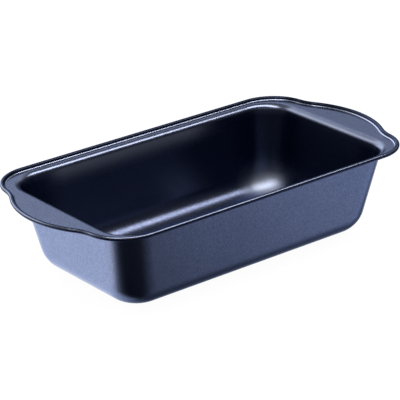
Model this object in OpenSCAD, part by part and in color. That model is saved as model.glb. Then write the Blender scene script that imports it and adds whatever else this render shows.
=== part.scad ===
// Loaf pan: a shell drawn from one steel sheet, with its rim rolled over a wire.
// Frame: the origin is the middle of the underside, +X runs along the pan,
// +Y across it and +Z up. Every size is in millimetres.

/* [Opening and walls] */

// Length of the opening between the end walls, taken at flange height
opening_length = 234; // [200:1:320]

// Width of the opening between the long walls, taken at flange height
opening_width = 132; // [120:1:180]

// Height from the underside of the base to the top of the flange
pan_height = 62; // [45:1:80]

// How far the walls lean out for each millimetre of height
wall_lean = 0.19; // [0.12:0.01:0.24]

// Upright corner radius inside the pan
corner_radius = 22; // [18:0.5:28]

// Radius between the walls and the base, inside the pan
base_radius = 18; // [10:0.5:20]

// Visible radius where the walls turn out into the flange
lip_radius = 4.8; // [3:0.1:5]

/* [Flange and wings] */

// From a long wall to the middle of the rolled rim
side_reach = 7.5; // [7.3:0.1:12]

// From an end wall to the middle of the rolled rim, beside the wing
end_reach = 12.5; // [9:0.5:13]

// From an end wall to the middle of the rolled rim, at the tip of the wing
wing_reach = 26.34; // [25:0.02:32]

// Outline radius at the four corners of the rim
outline_radius = 29.1; // [26:0.1:32]

// Radius of the hollow curve between a corner and a wing
neck_radius = 34.18; // [28:0.02:40]

// Radius of the outer edge of a wing
wing_radius = 69.82; // [62:0.02:80]

/* [Sheet and rim] */

// Thickness of the steel sheet
sheet = 0.5; // [0.4:0.05:0.7]

// Diameter of the wire inside the rolled rim
wire_diameter = 1.9; // [1.6:0.1:2.2]

// Gap left all round the wire
wire_clearance = 0.05; // [0.02:0.01:0.1]

// Height of the middle of the wire above the top of the flange
wire_lift = 0.95; // [0.4:0.05:1.1]

// Visible radius where the flange turns up into the rolled rim
foot_radius = 0.95; // [0.6:0.05:1.2]

// How far the sheet is rolled past the lowest point of the rim, in degrees
roll_past = 35; // [0:5:45]

// Gap between the two ends of the wire
wire_gap = 1; // [0.5:0.5:4]

/* [Model] */

// Which piece to draw

// Steps in a full turn of every curve
$fn = 96; // [48:8:160]

/* [Hidden] */

half_length = opening_length / 2;
half_width = opening_width / 2;

// Axis of the upright corner, at flange height
corner_x = half_length - corner_radius;
corner_y = half_width - corner_radius;

// How far the walls come in between flange height and the base
foot_lean = wall_lean * pan_height;

// Direction square to a wall, outwards
wall_normal = [1, -wall_lean] / norm([1, -wall_lean]);

// Bend between base and wall: its centre, and the corner it leaves on the base
base_centre = [
    corner_radius - wall_lean * (pan_height - sheet - base_radius) - base_radius / wall_normal[0],
    sheet + base_radius
];
base_corner = base_centre[0] + foot_lean;

// Bend between wall and flange: its centre, and its hidden radius
lip_centre = [
    corner_radius - wall_lean * lip_radius + lip_radius / wall_normal[0],
    pan_height - lip_radius
];
lip_inner = lip_radius - sheet;

// Flat strip of flange that is formed together with the walls
lip_land = 0.4;

// Rolled rim: radius inside the roll, and outside it
roll_inner = wire_diameter / 2 + wire_clearance;
roll_outer = roll_inner + sheet;

// From the middle of the rim in to the start of the bend at its foot
foot_reach = sqrt(pow(foot_radius + roll_outer, 2) - pow(foot_radius - wire_lift, 2));

// Flat strip of flange that is formed together with the rolled rim
foot_land = 0.4;
land_reach = foot_reach + foot_land;

// Centres of the three arcs that make a quarter of the outline
rim_half_width = half_width + side_reach;
outline_centre = [
    half_length + end_reach - outline_radius,
    rim_half_width - outline_radius
];
wing_centre = [half_length + wing_reach - wing_radius, 0];
neck_centre = meeting_point(
    outline_centre, outline_radius + neck_radius,
    wing_centre, neck_radius + wing_radius
);

// Longer than any distance in the outline
far = 400;

// The point at one distance from p and another from q, to the right of p to q
function meeting_point(p, from_p, q, from_q) =
    let (gap = norm(q - p))
    let (along = (from_p * from_p - from_q * from_q + gap * gap) / (2 * gap))
    let (aside = sqrt(from_p * from_p - along * along))
    let (way = (q - p) / gap)
    p + along * way + aside * [-way[1], way[0]];

// One quarter of something, copied into the other three
module four_quarters() {
    for (x = [0, 1], y = [0, 1])
        mirror([x, 0, 0])
            mirror([0, y, 0])
                children();
}

// Leans upright walls outwards, leaving everything at flange height in place
module lean() {
    multmatrix([
        [1, 0, wall_lean, -wall_lean * pan_height],
        [0, 1, wall_lean, -wall_lean * pan_height],
        [0, 0, 1, 0]
    ])
        children();
}

// Section of base, wall and lip, measured outwards from the axis of the upright
// corner at flange height. The base reaches this far inwards.
module wall_section(inward) {
    difference() {
        translate([-inward, 0])
            square([inward + lip_centre[0] + lip_land + 1, pan_height]);
        // Everything outside the sheet
        difference() {
            polygon([
                [base_centre[0], -1],
                [base_centre[0], 0],
                base_centre + (base_radius + sheet) * wall_normal,
                lip_centre - lip_inner * wall_normal,
                [lip_centre[0], pan_height - sheet],
                [lip_centre[0] + 2 * lip_land + 2, pan_height - sheet],
                [lip_centre[0] + 2 * lip_land + 2, -1]
            ]);
            translate(base_centre)
                circle(base_radius + sheet);
        }
        translate(lip_centre)
            circle(lip_inner);
        // Everything inside the sheet
        difference() {
            polygon([
                [-inward - 1, sheet],
                [base_centre[0], sheet],
                base_centre + base_radius * wall_normal,
                lip_centre - lip_radius * wall_normal,
                [lip_centre[0], pan_height],
                [lip_centre[0], pan_height + 1],
                [-inward - 1, pan_height + 1]
            ]);
            translate(lip_centre)
                circle(lip_radius);
        }
        translate(base_centre)
            circle(base_radius);
    }
}

// Corner section set upright again, ready to turn about the corner axis
module upright_section() {
    intersection() {
        multmatrix([
            [1, -wall_lean, 0, wall_lean * pan_height],
            [0, 1, 0, 0],
            [0, 0, 1, 0]
        ])
            wall_section(wall_lean * pan_height);
        translate([base_corner / 2, -1])
            square([corner_radius + 2 * lip_radius + 1, pan_height + 2]);
    }
}

// A straight length of wall from the middle of one side up to the corner
module straight_wall(length, inward) {
    intersection() {
        rotate([90, 0, 90])
            linear_extrude(length)
                wall_section(inward);
        translate([0, far / 2, 0])
            rotate([90, 0, 0])
                linear_extrude(far)
                    polygon([
                        [0, 0],
                        [length - wall_lean * pan_height, 0],
                        [length, pan_height],
                        [0, pan_height]
                    ]);
    }
}

// A quarter of the walls and base
module wall_quarter() {
    intersection() {
        union() {
            translate([0, corner_y, 0])
                straight_wall(corner_x, corner_y);
            mirror([1, -1, 0])
                translate([0, corner_x, 0])
                    straight_wall(corner_y, corner_x);
            difference() {
                lean()
                    translate([corner_x, corner_y, 0])
                        rotate_extrude(angle = 90)
                            upright_section();
                base_quarter();
            }
            base_quarter();
        }
        linear_extrude(pan_height)
            lip_quarter();
    }
}

// A quarter of the flat base, a little short of its bend
module base_quarter() {
    linear_extrude(sheet)
        rounded_quarter(corner_x - foot_lean, corner_y - foot_lean, 0.75 * base_corner);
}

// A quarter of a rounded rectangle, from its middle, with its corner centre here
module rounded_quarter(centre_x, centre_y, radius) {
    square([centre_x, centre_y + radius]);
    square([centre_x + radius, centre_y]);
    intersection() {
        translate([centre_x, centre_y])
            circle(radius);
        translate([centre_x, centre_y])
            square(radius);
    }
}

// A quarter of the plan where walls and flange meet
module lip_quarter() {
    rounded_quarter(corner_x, corner_y, lip_centre[0] + lip_land);
}

// The three sectors that a quarter of the outline is split into
module outline_sector() {
    polygon([
        outline_centre,
        neck_centre,
        [neck_centre[0], far],
        [outline_centre[0], far]
    ]);
}

module neck_sector() {
    polygon([neck_centre, outline_centre, wing_centre]);
}

module wing_sector() {
    polygon([wing_centre, neck_centre, [neck_centre[0], 0]]);
}

// A quarter of the flange, from the lip out to the foot of the rolled rim
module flange_quarter() {
    difference() {
        union() {
            square([outline_centre[0], rim_half_width - foot_reach]);
            intersection() {
                translate(outline_centre)
                    circle(outline_radius - foot_reach);
                outline_sector();
            }
            difference() {
                neck_sector();
                translate(neck_centre)
                    circle(neck_radius + foot_reach);
            }
            intersection() {
                translate(wing_centre)
                    circle(wing_radius - foot_reach);
                wing_sector();
            }
        }
        lip_quarter();
    }
}

// Carries a section round a quarter of the outline. The section is drawn with
// x measured outwards from the middle of the rolled rim.
module sweep_quarter(start_x) {
    translate([start_x, rim_half_width, 0])
        rotate([90, 0, 90])
            linear_extrude(outline_centre[0] - start_x)
                children();
    intersection() {
        translate(outline_centre)
            rotate_extrude(angle = 120, start = -15)
                translate([outline_radius, 0])
                    children();
        sector_block()
            outline_sector();
    }
    intersection() {
        translate(neck_centre)
            rotate_extrude(angle = 90, start = 160)
                translate([neck_radius, 0])
                    mirror([1, 0])
                        children();
        sector_block()
            neck_sector();
    }
    intersection() {
        translate(wing_centre)
            rotate_extrude(angle = 90, start = -30)
                translate([wing_radius, 0])
                    children();
        sector_block()
            wing_sector();
    }
}

module sector_block() {
    linear_extrude(2 * pan_height)
        children();
}

// Section of the rolled rim: foot, upstand and roll
module rim_section() {
    foot_centre = [-foot_reach, pan_height + foot_radius];
    roll_centre = [0, pan_height + wire_lift];
    translate([-land_reach, pan_height - sheet])
        square([foot_land, sheet]);
    intersection() {
        translate(foot_centre)
            difference() {
                circle(foot_radius + sheet);
                circle(foot_radius);
            }
        polygon([
            foot_centre,
            roll_centre,
            [0, pan_height - foot_radius - 2 * sheet],
            [-foot_reach, pan_height - foot_radius - 2 * sheet]
        ]);
    }
    difference() {
        translate(roll_centre)
            difference() {
                circle(roll_outer);
                circle(roll_inner);
            }
        polygon([
            roll_centre,
            roll_centre + 4 * (foot_centre - roll_centre),
            roll_centre - 4 * roll_outer * [sin(roll_past), cos(roll_past)]
        ]);
    }
}

// The sheet: base, walls, flange, wings and rolled rim in one piece
module pan_shell() {
    color([0.24, 0.27, 0.36])
        four_quarters() {
            wall_quarter();
            translate([0, 0, pan_height - sheet])
                linear_extrude(sheet)
                    flange_quarter();
            sweep_quarter(0)
                rim_section();
        }
}

// The wire inside the rolled rim, bent to the outline, its ends left butting
module rim_wire() {
    color([0.62, 0.63, 0.65]) {
        wire_quarter(0);
        mirror([1, 0, 0])
            wire_quarter(0);
        mirror([0, 1, 0]) {
            wire_quarter(wire_gap / 2);
            mirror([1, 0, 0])
                wire_quarter(wire_gap / 2);
        }
    }
}

module wire_quarter(start_x) {
    sweep_quarter(start_x)
        translate([0, pan_height + wire_lift])
            circle(wire_diameter / 2);
}

pan_shell();
rim_wire();
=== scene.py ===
import math

import bmesh
import bpy
from mathutils import Matrix, Vector


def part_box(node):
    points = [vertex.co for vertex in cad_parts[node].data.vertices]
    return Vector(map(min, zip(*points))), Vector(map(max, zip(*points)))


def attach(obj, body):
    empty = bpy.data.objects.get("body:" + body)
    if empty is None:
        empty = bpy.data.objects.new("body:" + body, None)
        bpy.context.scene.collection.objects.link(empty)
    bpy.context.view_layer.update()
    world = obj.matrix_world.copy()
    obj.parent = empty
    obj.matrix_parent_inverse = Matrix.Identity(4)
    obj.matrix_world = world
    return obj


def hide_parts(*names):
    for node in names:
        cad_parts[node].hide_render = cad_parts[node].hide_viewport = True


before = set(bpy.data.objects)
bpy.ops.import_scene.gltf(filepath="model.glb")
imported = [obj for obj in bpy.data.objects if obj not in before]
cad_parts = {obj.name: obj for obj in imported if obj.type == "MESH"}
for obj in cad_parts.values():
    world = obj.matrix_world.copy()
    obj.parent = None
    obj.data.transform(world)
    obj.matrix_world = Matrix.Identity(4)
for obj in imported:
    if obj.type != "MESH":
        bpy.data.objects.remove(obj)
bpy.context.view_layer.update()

MM = 0.001
shell_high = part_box("pan_shell")[1] / MM

# Sheet, lip and rolled rim, in millimetres
SHEET = 0.5
LIP_RADIUS = 4.8
FOOT_RADIUS = 0.95
ROLL_INNER = 1.0
ROLL_OUTER = ROLL_INNER + SHEET
WIRE_LIFT = 0.95
ROLL_PAST = 35

# Walls and base
WALL_LEAN = 0.19
CORNER_RADIUS = 22
BASE_RADIUS = 18

# Outline of the rim, measured to the middle of the roll
SIDE_REACH = 7.5
END_REACH = 12.5
WING_REACH = 26.34
OUTLINE_RADIUS = 29.1
NECK_RADIUS = 34.18
WING_RADIUS = 69.82

# Worked out from the frame
HEIGHT = shell_high.z - ROLL_OUTER - WIRE_LIFT
HALF_LENGTH = shell_high.x - ROLL_OUTER - WING_REACH
HALF_WIDTH = shell_high.y - ROLL_OUTER - SIDE_REACH
CORNER_X = HALF_LENGTH - CORNER_RADIUS
CORNER_Y = HALF_WIDTH - CORNER_RADIUS

LEAN_ANGLE = math.atan(WALL_LEAN)
BASE_CENTRE = Vector((
    CORNER_RADIUS - WALL_LEAN * (HEIGHT - SHEET - BASE_RADIUS) - BASE_RADIUS / math.cos(LEAN_ANGLE),
    SHEET + BASE_RADIUS,
))
LIP_CENTRE = Vector((
    CORNER_RADIUS - WALL_LEAN * LIP_RADIUS + LIP_RADIUS / math.cos(LEAN_ANGLE),
    HEIGHT - LIP_RADIUS,
))
FOOT_DROP = WIRE_LIFT - FOOT_RADIUS
FOOT_REACH = math.sqrt((FOOT_RADIUS + ROLL_OUTER) ** 2 - FOOT_DROP ** 2)
FOOT_ANGLE = math.atan2(FOOT_DROP, FOOT_REACH)
FOOT_CENTRE = Vector((-FOOT_REACH, HEIGHT + FOOT_RADIUS))
ROLL_CENTRE = Vector((0, HEIGHT + WIRE_LIFT))

# Steps along one quarter of every loop
STRAIGHT_STEPS = 32
CORNER_STEPS = 36
NECK_STEPS = 14
WING_STEPS = 24
SIDE_STEPS = NECK_STEPS + WING_STEPS


def polar(radius, angle):
    """A point at a distance and an angle from the origin."""
    return Vector((radius * math.cos(angle), radius * math.sin(angle)))


def arc(centre, radius, start, end, steps):
    """Points after the first one, along an arc given by its end angles."""
    return [centre + polar(radius, start + (end - start) * i / steps) for i in range(1, steps + 1)]


def line(start, end, steps):
    """Points after the first one, along a straight."""
    return [start.lerp(end, i / steps) for i in range(1, steps + 1)]


def outline_arcs():
    """Centres of the three arcs in a quarter of the outline, and the angles at which they meet."""
    corner = Vector((HALF_LENGTH + END_REACH, HALF_WIDTH + SIDE_REACH)) - Vector((1, 1)) * OUTLINE_RADIUS
    wing = Vector((HALF_LENGTH + WING_REACH - WING_RADIUS, 0))
    near, far = OUTLINE_RADIUS + NECK_RADIUS, NECK_RADIUS + WING_RADIUS
    gap = wing - corner
    along = (near ** 2 - far ** 2 + gap.length_squared) / (2 * gap.length)
    aside = math.sqrt(near ** 2 - along ** 2)
    way = gap.normalized()
    neck = corner + along * way + aside * Vector((-way.y, way.x))
    from_corner = neck - corner
    from_wing = neck - wing
    return corner, neck, wing, math.atan2(from_corner.y, from_corner.x), math.atan2(from_wing.y, from_wing.x)


OUTLINE_CENTRE, NECK_CENTRE, WING_CENTRE, NECK_ANGLE, WING_ANGLE = outline_arcs()


def whole_loop(quarter):
    """All four quarters of a loop, from a quarter that runs from the +Y side to the +X end."""
    last = len(quarter) - 1
    points = list(quarter)
    points += [Vector((p.x, -p.y)) for p in reversed(quarter[:last])]
    points += [Vector((-p.x, -p.y)) for p in quarter[1:]]
    points += [Vector((-p.x, p.y)) for p in reversed(quarter[1:last])]
    return points


def wall_loop(section_x, z):
    """The walls' plan at one height. section_x is measured from the corner axis at flange height."""
    shift = WALL_LEAN * (HEIGHT - z)
    centre = Vector((CORNER_X - shift, CORNER_Y - shift))
    radius = section_x + shift
    points = [Vector((0, centre.y + radius))]
    points += line(points[-1], Vector((centre.x, centre.y + radius)), STRAIGHT_STEPS)
    points += arc(centre, radius, math.pi / 2, 0, CORNER_STEPS)
    points += line(points[-1], Vector((centre.x + radius, 0)), SIDE_STEPS)
    return whole_loop(points)


def rim_loop(out):
    """The outline's plan, moved outwards from the middle of the roll."""
    points = [Vector((0, OUTLINE_CENTRE.y + OUTLINE_RADIUS + out))]
    points += line(points[-1], Vector((OUTLINE_CENTRE.x, points[0].y)), STRAIGHT_STEPS)
    points += arc(OUTLINE_CENTRE, OUTLINE_RADIUS + out, math.pi / 2, NECK_ANGLE, CORNER_STEPS)
    points += arc(NECK_CENTRE, NECK_RADIUS - out, NECK_ANGLE + math.pi, WING_ANGLE + math.pi, NECK_STEPS)
    points += arc(WING_CENTRE, WING_RADIUS + out, WING_ANGLE, 0, WING_STEPS)
    return whole_loop(points)


def wall_rings(profile):
    """Rings of the walls, one for each point of a section."""
    return [(wall_loop(p.x, p.y), p.y) for p in profile]


def rim_rings(profile):
    """Rings of the rim, one for each point of a section."""
    return [(rim_loop(p.x), p.y) for p in profile]


def flange_rings(z, shares):
    """Flat rings between the lip and the foot of the roll."""
    lip = wall_loop(LIP_CENTRE.x, z)
    foot = rim_loop(-FOOT_REACH)
    return [([a.lerp(b, share) for a, b in zip(lip, foot)], z) for share in shares]


def base_rings(z, shares):
    """Flat rings between the middle of the base and its bend."""
    edge = wall_loop(BASE_CENTRE.x, z)
    return [([p * share for p in edge], z) for share in shares]


def shell_rings():
    """Every ring of the sheet, from the middle of the floor over the rim to the middle of the underside."""
    wall_angle = -LEAN_ANGLE
    lip_angle = math.pi - LEAN_ANGLE
    roll_start = math.pi + FOOT_ANGLE
    roll_end = -math.pi / 2 - math.radians(ROLL_PAST)
    shares = [0.12, 0.3, 0.5, 0.68, 0.82, 0.93, 1]
    flange_shares = [0.06, 0.2, 0.4, 0.6, 0.8, 0.94, 1]

    bend_top = BASE_CENTRE + polar(BASE_RADIUS, wall_angle)
    lip_foot = LIP_CENTRE + polar(LIP_RADIUS, lip_angle)
    rings = base_rings(SHEET, shares)
    rings += wall_rings(arc(BASE_CENTRE, BASE_RADIUS, -math.pi / 2, wall_angle, 28))
    rings += wall_rings(line(bend_top, lip_foot, 12))
    rings += wall_rings(arc(LIP_CENTRE, LIP_RADIUS, lip_angle, math.pi / 2, 14))
    rings += flange_rings(HEIGHT, flange_shares)
    rings += rim_rings(arc(FOOT_CENTRE, FOOT_RADIUS, -math.pi / 2, FOOT_ANGLE, 10))
    rings += rim_rings(arc(ROLL_CENTRE, ROLL_OUTER, roll_start, roll_end, 36))
    cut = len(rings) - 1

    back = BASE_RADIUS + SHEET
    under_lip = LIP_CENTRE + polar(LIP_RADIUS - SHEET, lip_angle)
    rings += rim_rings([ROLL_CENTRE + polar(ROLL_INNER, roll_end)])
    rings += rim_rings(arc(ROLL_CENTRE, ROLL_INNER, roll_end, roll_start, 36))
    rings += rim_rings(arc(FOOT_CENTRE, FOOT_RADIUS + SHEET, FOOT_ANGLE, -math.pi / 2, 10))
    rings += flange_rings(HEIGHT - SHEET, [1 - share for share in flange_shares])
    rings += wall_rings(arc(LIP_CENTRE, LIP_RADIUS - SHEET, math.pi / 2, lip_angle, 14))
    rings += wall_rings(line(under_lip, BASE_CENTRE + polar(back, wall_angle), 12))
    rings += wall_rings(arc(BASE_CENTRE, back, wall_angle, -math.pi / 2, 28))
    rings += base_rings(0, list(reversed(shares))[1:])
    return rings, cut


def build_shell():
    """One closed mesh from the rings, with the cut edge of the sheet kept sharp."""
    rings, cut = shell_rings()
    mesh = bmesh.new()
    loops = []
    for points, z in rings:
        loops.append([mesh.verts.new((p.x * MM, p.y * MM, z * MM)) for p in points])
    count = len(loops[0])
    for below, above in zip(loops, loops[1:]):
        for i in range(count):
            j = (i + 1) % count
            mesh.faces.new((below[i], above[i], above[j], below[j]))
    for loop, z, step in ((loops[0], SHEET, 1), (loops[-1], 0, -1)):
        middle = mesh.verts.new((0, 0, z * MM))
        for i in range(count):
            mesh.faces.new((middle, loop[i], loop[(i + 1) % count])[::step])
    for face in mesh.faces:
        face.smooth = True
    mesh.edges.ensure_lookup_table()
    for loop in (loops[cut], loops[cut + 1]):
        for i in range(count):
            edge = mesh.edges.get((loop[i], loop[(i + 1) % count]))
            edge.smooth = False
    bmesh.ops.recalc_face_normals(mesh, faces=mesh.faces)
    data = bpy.data.meshes.new("shell")
    mesh.to_mesh(data)
    mesh.free()
    obj = bpy.data.objects.new("shell", data)
    bpy.context.scene.collection.objects.link(obj)
    return obj


class Nodes:
    """A short way to build a node tree."""

    def __init__(self, tree):
        self.tree = tree
        tree.nodes.clear()

    def add(self, kind, inputs=None, **settings):
        node = self.tree.nodes.new(kind)
        for name, value in settings.items():
            setattr(node, name, value)
        for name, value in (inputs or {}).items():
            if isinstance(value, bpy.types.NodeSocket):
                self.tree.links.new(value, node.inputs[name])
            else:
                node.inputs[name].default_value = value
        return node

    def math(self, operation, a, b=0.0, clamp=False):
        return self.add("ShaderNodeMath", {0: a, 1: b}, operation=operation, use_clamp=clamp).outputs[0]

    def noise(self, where, scale, detail=2.0, roughness=0.5):
        return self.add(
            "ShaderNodeTexNoise",
            {"Vector": where, "Scale": scale, "Detail": detail, "Roughness": roughness},
        ).outputs["Fac"]

    def spread(self, value, low, high, to_low=0.0, to_high=1.0):
        return self.add(
            "ShaderNodeMapRange",
            {"Value": value, "From Min": low, "From Max": high, "To Min": to_low, "To Max": to_high},
            interpolation_type="SMOOTHSTEP",
        ).outputs[0]

    def split(self, vector):
        return self.add("ShaderNodeSeparateXYZ", {0: vector}).outputs

    def product(self, first, *others):
        for other in others:
            first = self.math("MULTIPLY", first, other)
        return first

    def mix(self, share, a, b):
        node = self.add("ShaderNodeMix", {"Factor": share}, data_type="RGBA")
        for socket, value in ((6, a), (7, b)):
            if isinstance(value, bpy.types.NodeSocket):
                self.tree.links.new(value, node.inputs[socket])
            else:
                node.inputs[socket].default_value = value
        return node.outputs[2]


# Film colours, as linear reflectance. The lighter colours on the lip, the rim, the corner feet and the wall
# tops are partly painted highlights and glow, and the darkest is painted shade
FILM_DULL = (0.068, 0.077, 0.117, 1)
FILM_CLEAR = (0.075, 0.085, 0.128, 1)
FILM_GRAIN = (0.045, 0.053, 0.085, 1)
FILM_RUBBED_HIGHLIGHT = (0.120, 0.134, 0.184, 1)
FILM_FOOT_HIGHLIGHT = (0.24, 0.26, 0.33, 1)
FILM_PAINTED_SHADE = (0.014, 0.017, 0.030, 1)
FILM_CORNER_FOOT_HIGHLIGHT = (0.21, 0.23, 0.285, 1)
FILM_UPPER_WALL_GLOW = (0.125, 0.140, 0.185, 1)
FILM_SPECK = (0.26, 0.27, 0.29, 1)
FILM_EDGE_TINT = (0.58, 0.62, 0.72, 1)
FILM_PIGMENT = (0.0, 0.001, 0.005, 1)
FINE_BUMP = {"Strength": 0.3, "Distance": 0.00002}


def rough_band_and_glow(n, where, normal):
    """The top of the long walls inside, where the film is rougher and its colour is painted lighter as a
    reflected glow.
    """
    along, across, high = n.split(where)
    sideways = n.split(normal)[1]
    inside = n.math("LESS_THAN", n.math("MULTIPLY", across, sideways), 0.0)
    long_wall = n.spread(n.math("ABSOLUTE", sideways), 0.6, 0.93)
    upper = n.spread(high, (HEIGHT - 17) * MM, (HEIGHT - 4) * MM)
    lower = n.spread(high, (HEIGHT - 4) * MM, (HEIGHT - 2.5) * MM, 1.0, 0.0)
    fading = n.spread(along, 0.035, 0.075, 1.0, 0.0)
    return n.product(inside, upper, lower, long_wall, fading)


def rubbed_edges_and_highlight(n, where, normal, patchy):
    """The curves of the lip and the rolled rim, painted lighter: partly wear from handling, partly a painted
    highlight.
    """
    up_here = n.spread(n.split(where)[2], (HEIGHT - 4.5) * MM, (HEIGHT - 2) * MM)
    curved = n.spread(n.split(normal)[2], 0.90, 0.97, 1.0, 0.0)
    return n.product(up_here, curved, n.spread(patchy, 0.3, 0.7, 0.75, 1.0))


def facing(n, where, normal):
    """Two masks: 1 where the surface faces away from the middle of the pan, 1 where it faces in."""
    flat = n.add("ShaderNodeVectorMath", {0: where, 1: (1, 1, 0)}, operation="MULTIPLY").outputs[0]
    across = n.add("ShaderNodeVectorMath", {0: flat, 1: normal}, operation="DOT_PRODUCT").outputs["Value"]
    return n.spread(across, 0.0, 0.02), n.spread(across, -0.02, 0.0, 1.0, 0.0)


def painted_foot_highlight(n, where, normal, inwards):
    """The hollow curve where the flange turns up into the rim, with a painted highlight along it."""
    high = n.split(where)[2]
    above = n.spread(high, HEIGHT * MM, (HEIGHT + 0.15) * MM)
    below = n.spread(high, (HEIGHT + 0.7) * MM, (HEIGHT + 1.0) * MM, 1.0, 0.0)
    curved = n.spread(n.split(normal)[2], 0.90, 0.97, 1.0, 0.0)
    return n.product(curved, inwards, above, below)


def painted_shade_rim_back(n, where, normal, inwards):
    """The top of the roll and the side of it that faces in, where a dark reflection is painted."""
    up_here = n.spread(n.split(where)[2], (HEIGHT + 0.95) * MM, (HEIGHT + 1.2) * MM)
    return n.math("MULTIPLY", up_here, n.math("MAXIMUM", inwards, n.spread(n.split(normal)[2], 0.86, 0.95)))


def painted_shade_under_rim(n, where, normal, outwards):
    """The outside of the roll from just above its widest line down, where the shade under the rim is
    painted.
    """
    up_here = n.spread(n.split(where)[2], (HEIGHT - 1.3) * MM, (HEIGHT - 0.8) * MM)
    turned_down = n.spread(n.split(normal)[2], -0.05, 0.45, 1.0, 0.0)
    return n.product(up_here, turned_down, outwards)


def inside_corner(n, where, inwards):
    """1 on the four upright inside corners."""
    away = n.add("ShaderNodeVectorMath", {0: where}, operation="ABSOLUTE").outputs[0]
    along, across, _ = n.split(away)
    return n.product(inwards, n.spread(along, 0.070, 0.092), n.spread(across, 0.026, 0.040))


def coated_steel():
    """Dark blue-grey non-stick coating: a satin metallic film with fine grain, its tone varied by place,
    with painted highlights, painted glow and painted shade mixed into its colour.
    """
    material = bpy.data.materials.new("coated_steel")
    material.use_nodes = True
    n = Nodes(material.node_tree)
    where = n.add("ShaderNodeTexCoord").outputs["Object"]
    normal = n.add("ShaderNodeNewGeometry").outputs["Normal"]
    high = n.split(where)[2]
    outwards, inwards = facing(n, where, normal)

    mottle = n.noise(where, 30, 3, 0.55)
    handled = n.noise(where, 90, 3, 0.6)
    grain = n.noise(where, 900, 2, 0.6)
    peel = n.noise(where, 550, 2, 0.5)

    corner = inside_corner(n, where, inwards)
    # Painted highlight at the foot of each inside corner; the same mask also makes it rougher
    corner_foot_rough_and_highlight = n.math("MULTIPLY", corner, n.spread(high, 0.006, 0.026, 1.0, 0.0))
    # Painted shade on the upright inside corners, from low on the wall to just under the lip
    corner_wall_painted_shade = n.product(corner, n.spread(high, 0.016, 0.032), n.spread(high, 0.054, 0.058, 1.0, 0.0))
    # Painted reflected glow: the tops of the long walls inside are made lighter, and also rougher
    drawn = n.math("MULTIPLY", rough_band_and_glow(n, where, normal), n.math("SUBTRACT", 1.0, corner))
    # Painted shade and painted dark reflection on the outside and the back of the roll
    rim_painted_shade = n.math(
        "MAXIMUM",
        painted_shade_under_rim(n, where, normal, outwards),
        painted_shade_rim_back(n, where, normal, inwards),
    )

    colour = n.mix(n.spread(mottle, 0.3, 0.7), FILM_DULL, FILM_CLEAR)
    colour = n.mix(n.spread(grain, 0.38, 0.62, 0.0, 0.75), colour, FILM_GRAIN)
    # Lip and roll curves made lighter: partly wear, partly a painted highlight
    colour = n.mix(rubbed_edges_and_highlight(n, where, normal, handled), colour, FILM_RUBBED_HIGHLIGHT)
    # Painted highlight along the foot of the roll
    colour = n.mix(painted_foot_highlight(n, where, normal, inwards), colour, FILM_FOOT_HIGHLIGHT)
    # Painted shade on the roll
    colour = n.mix(rim_painted_shade, colour, FILM_PAINTED_SHADE)
    # Painted shade in the upright inside corners
    colour = n.mix(n.math("MULTIPLY", corner_wall_painted_shade, 0.75), colour, FILM_PAINTED_SHADE)
    # Painted highlight at the feet of the inside corners
    colour = n.mix(n.math("MULTIPLY", corner_foot_rough_and_highlight, 0.8), colour, FILM_CORNER_FOOT_HIGHLIGHT)
    # Painted glow at the tops of the long walls inside
    colour = n.mix(n.math("MULTIPLY", drawn, 0.8), colour, FILM_UPPER_WALL_GLOW)

    cells = n.add("ShaderNodeTexVoronoi", {"Vector": where, "Scale": 55.0}).outputs
    speck = n.spread(cells["Distance"], 0.010, 0.018, 1.0, 0.0)
    chosen = n.math("GREATER_THAN", n.add("ShaderNodeSeparateColor", {0: cells["Color"]}).outputs[0], 0.93)
    colour = n.mix(n.math("MULTIPLY", speck, chosen), colour, FILM_SPECK)

    roughness = 0.22
    for mask, rougher in ((handled, 0.03), (grain, 0.04), (drawn, 0.42), (corner_foot_rough_and_highlight, 0.17)):
        roughness = n.math("ADD", roughness, n.math("MULTIPLY", mask, rougher))

    height = n.math("ADD", n.math("MULTIPLY", peel, 0.6), n.math("MULTIPLY", grain, 0.4))
    bump = n.add("ShaderNodeBump", {**FINE_BUMP, "Height": height})
    surface = n.add(
        "ShaderNodeBsdfPrincipled",
        {
            "Base Color": colour,
            "Metallic": 1.0,
            "Roughness": roughness,
            "Specular Tint": FILM_EDGE_TINT,
            "Normal": bump.outputs["Normal"],
        },
    )
    pigment = n.add("ShaderNodeBsdfDiffuse", {"Color": FILM_PIGMENT})
    both = n.add("ShaderNodeAddShader", {0: surface.outputs[0], 1: pigment.outputs[0]})
    n.add("ShaderNodeOutputMaterial", {"Surface": both.outputs[0]})
    return material


WIRE_BRIGHT = (0.60, 0.61, 0.63, 1)
WIRE_SCALE = (0.42, 0.41, 0.40, 1)


def bare_wire():
    """Plain drawn steel, with patches of dull scale and fine drawing marks."""
    material = bpy.data.materials.new("bare_wire")
    material.use_nodes = True
    n = Nodes(material.node_tree)
    where = n.add("ShaderNodeTexCoord").outputs["Object"]
    scale = n.noise(where, 900, 3, 0.6)
    draw = n.noise(where, 3000, 1, 0.5)
    colour = n.mix(n.spread(scale, 0.35, 0.7), WIRE_BRIGHT, WIRE_SCALE)
    bump = n.add("ShaderNodeBump", {**FINE_BUMP, "Height": draw})
    surface = n.add(
        "ShaderNodeBsdfPrincipled",
        {
            "Base Color": colour,
            "Metallic": 1.0,
            "Roughness": n.spread(scale, 0.3, 0.7, 0.28, 0.5),
            "Normal": bump.outputs["Normal"],
        },
    )
    n.add("ShaderNodeOutputMaterial", {"Surface": surface.outputs[0]})
    return material


# Brightness of the studio round the pan, by the direction looked in: degrees from +X towards +Y
LOW_ROUND = [
    (-180, 0.1), (-100, 0.1), (-80, 0.05), (-10, 0.05), (20, 0.1), (62, 0.15), (72, 4.0),
    (90, 4.0), (112, 2.5), (128, 0.6), (146, 0.2), (180, 0.1),
]

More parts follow.
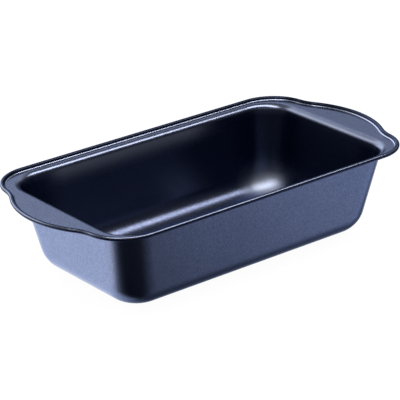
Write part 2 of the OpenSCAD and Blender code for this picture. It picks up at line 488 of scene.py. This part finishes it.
# The same, higher up
HIGH_ROUND = [
    (-180, 0.4), (-100, 0.4), (-80, 0.1), (-10, 0.1), (25, 1.5), (50, 2.8), (62, 3.4),
    (90, 3.2), (140, 3.0), (146, 0.4), (180, 0.4),
]

# Brightness of the floor as shiny things see it, by direction in the same way
FLOOR_ROUND = [
    (-180, 0.12), (-165, 0.05), (-92, 0.05), (-68, 0.5), (-42, 1.05), (0, 1.1), (30, 1.5),
    (60, 2.0), (80, 3.2), (105, 4.6), (115, 4.8), (143, 4.8), (149, 3.0), (154, 1.8), (160, 1.1),
    (168, 0.6), (180, 0.12),
]
BRIGHTEST = 8.0
WHITE = (1, 1, 1, 1)


def studio_round(n, direction, levels):
    """Brightness of the studio in one direction, from one of the lists above."""
    x, y, _ = n.split(direction)
    turn = n.math("DIVIDE", n.math("ARCTAN2", y, x), 2 * math.pi)
    ramp = n.add("ShaderNodeValToRGB", {"Fac": n.math("ADD", turn, 0.5)})
    stops = ramp.color_ramp.elements
    while len(stops) < len(levels):
        stops.new(0.5)
    for stop, (degrees, level) in zip(stops, levels):
        share = level / BRIGHTEST
        stop.position = degrees / 360 + 0.5
        stop.color = (share, share, share, 1)
    bright = n.add("ShaderNodeSeparateColor", {0: ramp.outputs["Color"]}).outputs[0]
    return n.math("MULTIPLY", bright, BRIGHTEST)


def build_world():
    """The studio round the pan: plain white to the camera, light and dark sides to everything else."""
    world = bpy.data.worlds.new("studio")
    bpy.context.scene.world = world
    world.use_nodes = True
    n = Nodes(world.node_tree)
    direction = n.add("ShaderNodeTexCoord").outputs["Generated"]
    rise = n.split(direction)[2]
    low = n.math("MULTIPLY", studio_round(n, direction, LOW_ROUND), n.spread(rise, 0.29, 0.39, 1.0, 0.0))
    high = n.product(
        studio_round(n, direction, HIGH_ROUND),
        n.spread(rise, 0.29, 0.39),
        n.spread(rise, 0.62, 0.80, 1.0, 0.1),
    )
    level = n.math("ADD", low, high)
    camera_ray = n.add("ShaderNodeLightPath").outputs["Is Camera Ray"]
    level = n.math("ADD", n.math("MULTIPLY", level, n.math("SUBTRACT", 1.0, camera_ray)), camera_ray)
    light = n.add("ShaderNodeBackground", {"Color": WHITE, "Strength": level})
    n.add("ShaderNodeOutputWorld", {"Surface": light.outputs[0]})


FLOOR_REACH = 8.0
FLOOR_GAP = 0.2
FLOOR_TINT = (0.85, 0.95, 1.15, 1)
FLOOR_PALE = (0.06, 0.06, 0.06, 1)
FLOOR_GLOW = 0.97


def build_floor():
    """A pale floor. Shiny things see it with the studio's own light and shade."""
    data = bpy.data.meshes.new("floor")
    corners = [(x * FLOOR_REACH, y * FLOOR_REACH, 0) for x, y in ((-1, -1), (1, -1), (1, 1), (-1, 1))]
    data.from_pydata(corners, [], [(0, 1, 2, 3)])
    floor = bpy.data.objects.new("floor", data)
    floor.location.z = -FLOOR_GAP * MM
    bpy.context.scene.collection.objects.link(floor)

    material = bpy.data.materials.new("floor")
    material.use_nodes = True
    n = Nodes(material.node_tree)
    geometry = n.add("ShaderNodeNewGeometry").outputs
    back = n.add("ShaderNodeVectorMath", {0: geometry["Incoming"], "Scale": -1}, operation="SCALE")
    direction = back.outputs[0]
    level = studio_round(n, direction, FLOOR_ROUND)
    level = n.math("MULTIPLY", level, n.spread(n.split(direction)[2], -0.50, -0.30, 1.0, 0.08))

    # In front of the pan the floor grows brighter towards +X, and is shaded where it meets the pan
    x, y, _ = n.split(geometry["Position"])
    front = n.spread(y, -0.02, -0.06)
    outside = n.math("SUBTRACT", n.math("ABSOLUTE", y), (HALF_WIDTH - WALL_LEAN * HEIGHT) * MM)
    brighter = n.spread(x, -0.15, 0.20, 0.55, 2.0)
    along = n.math("MULTIPLY", brighter, n.spread(outside, -0.002, 0.014, 0.15, 1.0))
    factor = n.math("ADD", 1.0, n.math("MULTIPLY", front, n.math("SUBTRACT", along, 1.0)))
    tint = n.mix(front, WHITE, FLOOR_TINT)
    seen = n.add("ShaderNodeEmission", {"Color": tint, "Strength": n.math("MULTIPLY", level, factor)})

    pale = n.add("ShaderNodeBsdfDiffuse", {"Color": FLOOR_PALE})
    glow = n.add("ShaderNodeEmission", {"Color": WHITE, "Strength": FLOOR_GLOW})
    lit = n.add("ShaderNodeAddShader", {0: pale.outputs[0], 1: glow.outputs[0]})
    glossy_ray = n.add("ShaderNodeLightPath").outputs["Is Glossy Ray"]
    both = n.add("ShaderNodeMixShader", {0: glossy_ray, 1: lit.outputs[0], 2: seen.outputs[0]})
    n.add("ShaderNodeOutputMaterial", {"Surface": both.outputs[0]})
    data.materials.append(material)


def soft_box(name, centre, width, depth, power, turn):
    """A rectangular light that faces straight down, turned about its own middle."""
    light = bpy.data.lights.new(name, "AREA")
    light.shape = "RECTANGLE"
    light.size = width
    light.size_y = depth
    light.energy = power
    obj = bpy.data.objects.new(name, light)
    obj.location = centre
    obj.visible_camera = False
    obj.rotation_euler = (0, 0, math.radians(turn))
    bpy.context.scene.collection.objects.link(obj)


# Camera: degrees round from the -Y side, up and rolled; then distance, shift aside and shift up in mm
CAMERA_TURN = (-38.08, 22.78, -1.50)
CAMERA_STAND = (1422.3, 2.93, -3.95)
CAMERA_SENSOR = 36
CAMERA_LENS = 185.44
CAMERA_SIGHT = 50


def build_camera():
    """The camera stands well back with a long lens, a little to the left of the pan's near side."""
    azimuth, elevation, roll = (math.radians(angle) for angle in CAMERA_TURN)
    distance, aside, above = CAMERA_STAND
    back = Vector((
        math.sin(azimuth) * math.cos(elevation),
        -math.cos(azimuth) * math.cos(elevation),
        math.sin(elevation),
    ))
    right = Vector((math.cos(azimuth), math.sin(azimuth), 0))
    up = back.cross(right)
    turned_right = math.cos(roll) * right + math.sin(roll) * up
    turned_up = math.cos(roll) * up - math.sin(roll) * right
    place = Vector((0, 0, HEIGHT / 2)) + distance * back - aside * turned_right - above * turned_up
    data = bpy.data.cameras.new("camera")
    data.sensor_width = CAMERA_SENSOR
    data.lens = CAMERA_LENS
    data.clip_end = CAMERA_SIGHT
    camera = bpy.data.objects.new("camera", data)
    turn = Matrix((turned_right, turned_up, back)).transposed().to_4x4()
    camera.matrix_world = Matrix.Translation(place * MM) @ turn
    bpy.context.scene.collection.objects.link(camera)
    bpy.context.scene.camera = camera


shell = build_shell()
shell.data.materials.append(coated_steel())
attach(shell, "root")
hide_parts("pan_shell")

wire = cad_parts["rim_wire"]
wire.data.materials.clear()
wire.data.materials.append(bare_wire())

build_world()
build_floor()
soft_box("overhead", centre=(0.13, -0.24, 1.3), width=2.1, depth=0.45, power=30, turn=-14)
build_camera()
bpy.context.scene.view_settings.view_transform = "Standard"
